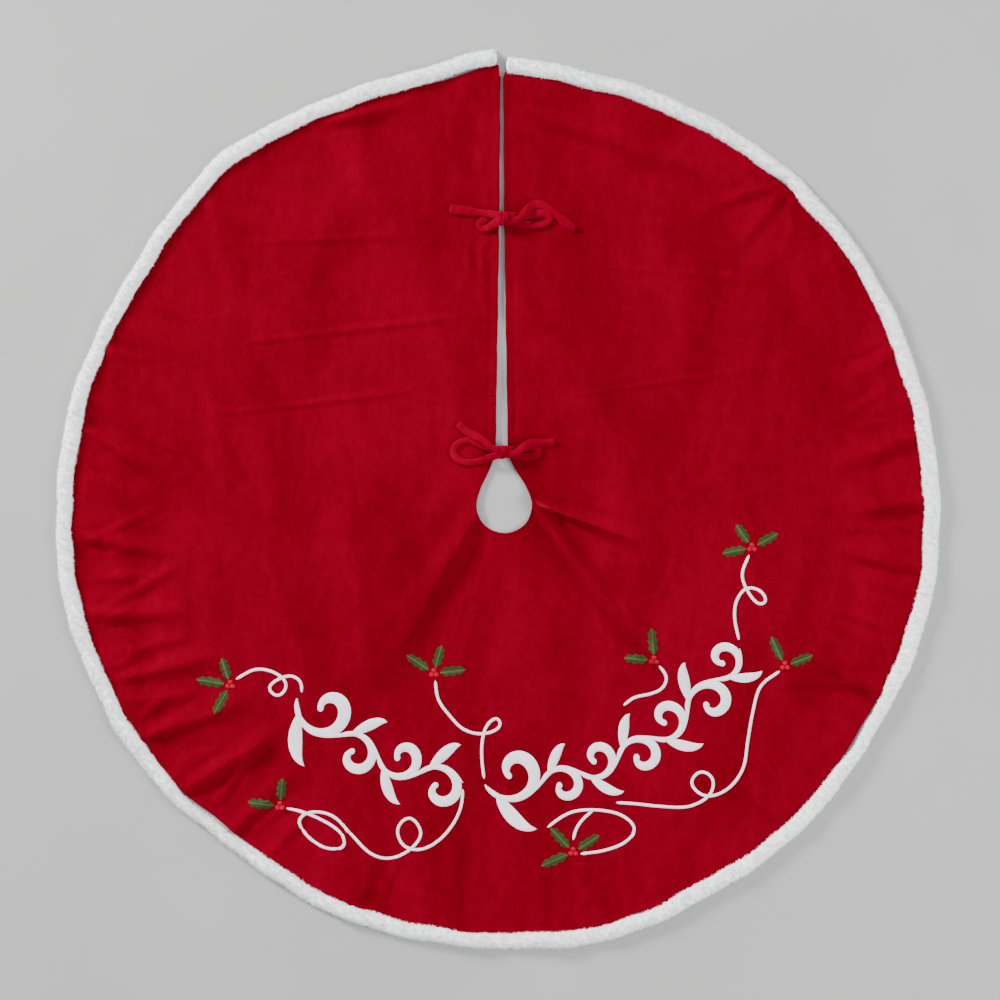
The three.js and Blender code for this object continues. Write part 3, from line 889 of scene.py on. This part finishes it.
def make_backing():
    """The stiff patch behind the embroidery, between the face and the lining."""
    inner, outer = BACKING_RADII
    start, end = (math.radians(degrees) for degrees in BACKING_DEGREES)
    bm = bmesh.new()
    bmesh.ops.create_grid(bm, x_segments=200, y_segments=70, size=0.5)
    for vert in bm.verts:
        angle = start + (end - start) * (vert.co.x + 0.5)
        reach = inner + (outer - inner) * (vert.co.y + 0.5)
        vert.co = (reach * math.cos(angle), reach * math.sin(angle), 0)
    backing = finish_mesh(bm, "backing_patch")
    lay_under_cloth(backing, BACKING_DEPTH)
    face_up(backing)
    thicken(backing, BACKING_THICKNESS)
    backing.data.materials.append(BACKING)
    seat(backing, "backing", "embroidery_backing")


def make_turned_edge():
    """The rolled edge where face and lining are seamed and turned, along the slit and hole."""
    climb = np.linspace(NECK_Y, FACE_RADIUS + EDGE_REACH, 60)
    right = [(gap_edge(1, y), y) for y in climb[::-1]]
    left = [(gap_edge(-1, y), y) for y in climb]
    route = np.array(right + [tuple(p) for p in hole_outline()[1:-1]] + left)
    rings = 700
    path = even_points(route, rings)
    edge, flat, ring = unit_tube("turned_edge", rings, 8)
    tangent = np.gradient(path, axis=0)
    tangent /= np.linalg.norm(tangent, axis=1)[:, None]
    side_way = np.column_stack([tangent[:, 1], -tangent[:, 0]])
    along = 1.9 * np.arange(rings + 1)
    wide = EDGE_HALF_WIDTH + 0.25 * np.sin(along / 13) + 0.15 * np.sin(along / 5.1)
    across = flat[:, 0] * wide[ring] - 0.6
    x = path[ring, 0] + side_way[ring, 0] * across
    y = path[ring, 1] + side_way[ring, 1] * across
    height = EDGE_HALF_HEIGHT * (flat[:, 1] - 0.5)
    place_points(edge, np.column_stack([x, y, height]))
    lay_on_cloth(edge)
    edge.data.materials.append(VELVET)
    seat(edge, "velvet")
    return edge


# ---------------------------------------------------------------- plush rim


def rim_section(angle):
    """Middle radius, half width, height and foot of the plush roll at an angle."""
    outer = RIM_RADIUS + rim_shift(angle)
    half = TRIM_WIDTH / 2 * (1 + 0.04 * np.sin(17 * angle + 1) + 0.02 * np.sin(43 * angle))
    degrees = np.degrees(angle) % 360
    pucker = np.exp(-(((degrees - PUCKER_DEGREES) / 1.6) ** 2))
    # Each narrow place: its angle, how much narrower it is, and its spread in degrees
    for centre, narrow, wide in ((33, 0.12, 9), (150, 0.1, 9), (228, 0.28, 8), (327, 0.26, 7)):
        half = half * (1 - narrow * np.exp(-(((degrees - centre) / wide) ** 2)))
    half = 0.93 * half * (1 - 0.2 * pucker)
    lift = 0.8 * (rim_ripple(angle) + 3.2).clip(0.3)
    tall = TRIM_HEIGHT * (0.92 + 0.08 * np.sin(29 * angle + 0.5)) * (1 - 0.15 * pucker)
    return outer - half, half, tall, lift


def rim_ends():
    """Angles of the plush rim's two ends, right of the slit and round to the left of it."""
    gap = SLIT_AT_RIM / 2 + PLUSH_END_GAP
    right = math.atan2(RIM_RADIUS, SLIT_X + gap)
    left = math.atan2(RIM_RADIUS, SLIT_X - gap) - math.tau
    return right, left


def make_roll():
    """The body of the plush rim, under its pile."""
    right, left = rim_ends()
    rings = 720
    roll, flat, ring = unit_tube("plush_roll", rings, 16)
    angle = right + (left - right) * ring / rings
    edge = np.hypot(flat[:, 0], flat[:, 1])
    end = np.minimum(ring, rings - ring) * abs(left - right) / rings * RIM_RADIUS
    blunt = np.sqrt(np.clip(1 - (1 - np.clip(end / 8, 0, 1)) ** 2, 0.25, 1)) * edge
    turn = np.arctan2(flat[:, 1], -flat[:, 0])
    middle, half, tall, lift = rim_section(angle)
    fluff = 1 + 0.02 * np.sin(140 * angle + 3 * turn) + 0.02 * np.sin(230 * angle - 2 * turn)
    reach = middle - np.cos(turn) * half * BODY_WIDTH * blunt * fluff
    up = np.sin(turn) * tall * BODY_HEIGHT * blunt * fluff
    height = np.maximum(up + lift, FLOOR_GAP)
    coords = np.column_stack([reach * np.cos(angle), reach * np.sin(angle), height])
    place_points(roll, coords * MM)
    roll.data.materials.append(PLUSH)
    seat(roll, "plush", "plush_trim")


def tuft_patch(seed):
    """A small patch of plush pile: a few thin locks that lean every way."""
    rng = random.Random(seed)
    bm = bmesh.new()
    for _ in range(15):
        length = rng.uniform(3.4, 4.8)
        lean = Matrix.Rotation(rng.uniform(0.2, 0.9), 4, "X")
        turn = Matrix.Rotation(rng.uniform(0, math.tau), 4, "Z")
        foot = Matrix.Translation((rng.uniform(-3.2, 3.2), rng.uniform(-3.2, 3.2), -1.2))
        up = Matrix.Translation((0, 0, length / 2))
        bmesh.ops.create_cone(
            bm, cap_ends=False, segments=3, radius1=rng.uniform(0.5, 0.8), radius2=0.0,
            depth=length, matrix=foot @ turn @ lean @ up,
        )
    mesh = bpy.data.meshes.new(f"tuft_patch_{seed}")
    bm.to_mesh(mesh)
    bm.free()
    return mesh


def make_pile():
    """The pile of the rim, in sections, each one mesh of many tuft patches."""
    right, left = rim_ends()
    patches = [tuft_patch(seed) for seed in range(9)]
    sections, per_section = 6, 105
    across_steps = 8
    rng = random.Random(77)
    for section in range(sections):
        bm = bmesh.new()
        for step in range(per_section):
            for row in range(across_steps):
                share = (section + (step + rng.random()) / per_section) / sections
                share = min(max(share, 0.0012), 0.9988)
                angle = right + (left - right) * share
                turn = math.pi * (-0.03 + 1.06 * (row + rng.uniform(0.2, 0.8)) / across_steps)
                middle, half, tall, lift = rim_section(np.array(angle))
                reach = float(middle - math.cos(turn) * half * BODY_WIDTH)
                height = max(float(math.sin(turn) * tall * BODY_HEIGHT + lift), LOWEST_TUFT)
                way = Vector((math.cos(angle), math.sin(angle), 0))
                place = Matrix.Translation(reach * way + Vector((0, 0, height)))
                out = -math.cos(turn) * way
                out.z = max(math.sin(turn), 0.12)
                stand = out.normalized().to_track_quat("Z", "Y").to_matrix().to_4x4()
                spin = Matrix.Rotation(rng.uniform(0, math.tau), 4, "Z")
                grow = Matrix.Scale(rng.uniform(0.75, 1.15), 4)
                move = place @ stand @ spin @ grow
                patch = rng.choice(patches)
                patch.transform(move)
                bm.from_mesh(patch)
                patch.transform(move.inverted())
        pile = finish_mesh(bm, f"plush_pile_{section + 1}")
        coords = points_of(pile)
        coords[:, 2] = np.maximum(coords[:, 2], FLOOR_GAP)
        place_points(pile, coords * MM)
        pile.data.materials.append(PLUSH)
        seat(pile, "plush")


# ---------------------------------------------------------------- embroidery


def stroke(bm, points, widths, crown):
    """A raised ribbon of satin stitch along points, with a width at each of them."""
    across_steps = 6
    line = np.array(points, float)
    widths = np.array(widths, float)
    steps = len(line) - 1
    made = bmesh.ops.create_grid(bm, x_segments=steps, y_segments=across_steps, size=0.5)
    along = np.gradient(line, axis=0)
    along /= np.maximum(np.linalg.norm(along, axis=1), 1e-9)[:, None]
    reach = np.concatenate([[0], np.cumsum(np.linalg.norm(np.diff(line, axis=0), axis=1))])
    uv = bm.loops.layers.uv.verify()
    for vert in made["verts"]:
        i = int(round((vert.co.x + 0.5) * steps))
        out = vert.co.y
        centre, way = line[i], along[i]
        x = centre[0] - way[1] * out * widths[i]
        y = centre[1] + way[0] * out * widths[i]
        body = crown * min(1.0, widths[i] / 5)
        height = -0.35 + (0.35 + body) * math.sqrt(max(0.0, 1 - (2 * out) ** 2))
        for loop in vert.link_loops:
            loop[uv].uv = (reach[i], out * widths[i])
        vert.co = (x, y, height)


def tapered(steps, width, tip, sharp):
    """Even widths that draw in to a share, tip, of themselves at both ends."""
    return [
        width * min(1.0, tip + sharp * min(i, steps - i) / steps) * end_round(i, steps)
        for i in range(steps + 1)
    ]


def end_round(i, steps):
    """The share of its width that a stroke has at a step, round at the ends."""
    near = min(i, steps - i)
    return (0.35, 0.75, 0.93)[near] if near < 3 else 1.0


def on_arc(start_degrees, along, outward):
    """A point some way along the scroll's arc, and outward of it."""
    angle = math.radians(start_degrees) + along / SCROLL_RADIUS
    reach = SCROLL_RADIUS + outward
    return reach * math.cos(angle), reach * math.sin(angle)


def make_scroll(name, start_degrees, waves):
    """A running scroll: a waving stem, with a curl under each bulge and a leaf over it."""
    bm = bmesh.new()
    stem = []
    start = 0.0
    for i, size in enumerate(waves):
        side = -1 if i % 2 else 1
        steps = round(26 * size)
        for step in range(steps):
            t = step / steps
            swing = side * size * STEM_SWING * math.sin(math.pi * t)
            stem.append(on_arc(start_degrees, start + t * size * HALF_WAVE, swing))
        curl, wide = scroll_curl(start_degrees, start, size, side)
        stroke(bm, curl, wide, 1.3)
        leaf, wide = scroll_leaf(start_degrees, start, size, side)
        stroke(bm, leaf, wide, 1.4)
        start += size * HALF_WAVE
    stem.append(on_arc(start_degrees, start, 0))
    stroke(bm, stem, tapered(len(stem) - 1, STEM_WIDTH, 0.4, 12), 1.1)
    stitched(bm, name, WHITE_THREAD, "white_thread")


def scroll_curl(start_degrees, start, size, side):
    centre_along = 0.54 * size * HALF_WAVE
    centre_out = 0.9 * size * STEM_SWING
    eye = size * CURL_EYE
    reach = math.hypot(centre_along, centre_out)
    first_turn = math.pi - side * math.atan2(centre_out, centre_along)
    steps = 60
    points, widths = [], []
    for i in range(steps + 1):
        t = i / steps
        radius = eye + (reach - eye) * (1 - t) ** 1.6
        turn = first_turn - side * 2.2 * math.pi * t
        along = start + centre_along + radius * math.cos(turn)
        points.append(on_arc(start_degrees, along, radius * math.sin(turn) - side * centre_out))
        belly = (size * CURL_WIDTH - STEM_WIDTH) * math.sin(math.pi * t) ** 1.5
        drop = 2.4 * float(smooth(t, 0.85, 0.95))
        widths.append((STEM_WIDTH + belly + drop) * end_round(i, steps))
    return points, widths


def scroll_leaf(start_degrees, start, size, side):
    steps = 34
    foot = 0.6 * size * STEM_SWING
    points, widths = [], []
    for i in range(steps + 1):
        t = i / steps
        along = start + size * HALF_WAVE * (0.2 + 0.62 * t)
        outward = side * (foot + (size * SCROLL_REACH - foot) * math.sin(math.pi / 2 * t))
        points.append(on_arc(start_degrees, along, outward))
        wide = 1.6 + (size * SCROLL_LEAF_WIDTH - 1.6) * math.sin(math.pi * t**0.8)
        widths.append(wide * end_round(i, steps))
    return points, widths


def stitched(bm, node, material, slot):
    """A finished piece of embroidery, draped over the velvet."""
    piece = finish_mesh(bm, f"{node}_stitching")
    lay_on_cloth(piece)
    piece.data.materials.append(material)
    seat(piece, slot, node)


# Holly sprigs: where each one is, its leaves' directions and lengths, its tendril's route
SPRIGS = [
    ((-369, -246), [(107, 31), (171, 40), (241, 37)],
     [(-361, -238), (-333, -224), (-304, -231), (-291, -246), (-303, -262), (-317, -250),
      (-303, -238), (-285, -233), (-272, -241), (-271, -256)]),
    ((-90, -230), [(146, 37), (74, 32), (7, 36)],
     [(-88, -240), (-84, -266), (-69, -287), (-49, -307), (-21, -313), (2, -302), (-3, -290),
      (-18, -302), (-24, -326), (-24, -350), (-21, -374)]),
    ((-301, -412), [(84, 31), (172, 37)],
     [(-292, -415), (-265, -421), (-217, -449), (-212, -467), (-236, -470), (-262, -454),
      (-275, -431), (-260, -420), (-229, -425), (-203, -451), (-176, -477), (-153, -484),
      (-123, -472), (-107, -449), (-123, -427), (-140, -442), (-132, -466), (-110, -472),
      (-87, -462), (-66, -440), (-53, -414), (-50, -389)]),
    ((211, -212), [(94, 37), (176, 33)],
     [(218, -219), (229, -235), (223, -251), (204, -259), (184, -263), (170, -274)]),
    ((346, -58), [(124, 31), (29, 33), (191, 34)],
     [(342, -68), (332, -94), (338, -114), (356, -136), (366, -132), (358, -117), (338, -113),
      (324, -132), (322, -154), (328, -184)]),
    ((391, -220), [(115, 37), (21, 33)],
     [(384, -227), (358, -247), (347, -283), (340, -324), (333, -362), (309, -391), (281, -398),
      (262, -380), (275, -364), (292, -373), (290, -394), (261, -412), (218, -412),
      (190, -409), (160, -407)]),
    ((101, -475), [(133, 38), (33, 35), (203, 40)],
     [(111, -477), (142, -473), (173, -461), (186, -443), (169, -425), (131, -417), (99, -420),
      (80, -430), (66, -441)]),
]

# The strand that runs back inside the loop of the seventh tendril
BRANCHES = {7: [(128, -418), (113, -431), (104, -445), (101, -458)]}

# Spiny edge of a leaf, as shares of its length and of its half width
LEAF_EDGE = [
    (0, 0.25), (0.08, 0.5), (0.2, 0.96), (0.33, 0.66), (0.48, 1), (0.62, 0.62), (0.75, 0.85),
    (0.87, 0.4), (1, 0.04),
]


def make_leaf(name, at, degrees, length):
    bm = bmesh.new()
    steps, across_steps = 50, 8
    made = bmesh.ops.create_grid(bm, x_segments=steps, y_segments=across_steps, size=0.5)
    uv = bm.loops.layers.uv.verify()
    shares = [share for share, _ in LEAF_EDGE]
    spread = [out for _, out in LEAF_EDGE]
    way = Vector((math.cos(math.radians(degrees)), math.sin(math.radians(degrees))))
    for vert in made["verts"]:
        share, out = vert.co.x + 0.5, vert.co.y * 2
        half = LEAF_WIDTH / 2 * float(np.interp(share, shares, spread))
        sweep = 2.6 * abs(out) * (half / LEAF_WIDTH)
        along = LEAF_SETBACK + share * length + sweep
        across = out * half
        x = at[0] + way.x * along - way.y * across
        y = at[1] + way.y * along + way.x * across
        vein = 0.45 * math.exp(-((across / 0.9) ** 2))
        height = -0.3 + 1.5 * math.sqrt(max(0.0, 1 - out * out)) * min(1.0, half / 2.5) - vein
        for loop in vert.link_loops:
            loop[uv].uv = (share * length, across)
        vert.co = (x, y, height)
    stitched(bm, name, LEAF_THREAD, "leaf_thread")


def make_berries(name, at):
    bm = bmesh.new()
    for degrees in (90, 210, 330):
        x = at[0] + BERRY_SPREAD * math.cos(math.radians(degrees))
        y = at[1] + BERRY_SPREAD * math.sin(math.radians(degrees))
        dome = Matrix.Translation((x, y, 0)) @ Matrix.Diagonal((1, 1, 0.62, 1))
        bmesh.ops.create_uvsphere(
            bm, u_segments=20, v_segments=12, radius=BERRY_RADIUS, matrix=dome
        )
    bmesh.ops.bisect_plane(
        bm, geom=bm.verts[:] + bm.edges[:] + bm.faces[:], plane_co=(0, 0, -0.4),
        plane_no=(0, 0, 1), clear_inner=True,
    )
    uv = bm.loops.layers.uv.verify()
    for face in bm.faces:
        for loop in face.loops:
            loop[uv].uv = (loop.vert.co.x - at[0], loop.vert.co.y - at[1])
    stitched(bm, name, BERRY_THREAD, "berry_thread")


def make_tendril(name, strands):
    bm = bmesh.new()
    for points in strands:
        rough = soft_curve(points, 40)
        length = float(np.linalg.norm(np.diff(rough, axis=0), axis=1).sum())
        steps = int(length / 2.2)
        line = relaxed(soft_curve(points, steps), 12)
        stroke(bm, line, tapered(steps, TENDRIL_WIDTH, 1.0, 12), 1.0)
    stitched(bm, name, WHITE_THREAD, "white_thread")


def make_embroidery():
    make_scroll("left_scroll", LEFT_SCROLL_START, LEFT_SCROLL_WAVES)
    make_scroll("right_scroll", RIGHT_SCROLL_START, RIGHT_SCROLL_WAVES)
    for number, (at, leaves, curl) in enumerate(SPRIGS, 1):
        sprig = f"sprig_{number}"
        for j, (degrees, length) in enumerate(leaves, 1):
            make_leaf(f"{sprig}_leaf_{j}", at, degrees, length)
        make_berries(f"{sprig}_berries", at)
        strands = [curl] + ([BRANCHES[number]] if number in BRANCHES else [])
        make_tendril(f"{sprig}_tendril", strands)


# ---------------------------------------------------------------- build

make_camera()
make_room()
make_bow("upper", UPPER_BOW, UPPER_LEFT_TIE, UPPER_RIGHT_TIE, UPPER_TIE_WIDTH, 1)
make_bow("lower", LOWER_BOW, LOWER_LEFT_TIE, LOWER_RIGHT_TIE, LOWER_TIE_WIDTH, 4)
face = make_face()
lining = make_lining()
make_backing()
edge = make_turned_edge()
make_embroidery()
make_roll()
make_pile()
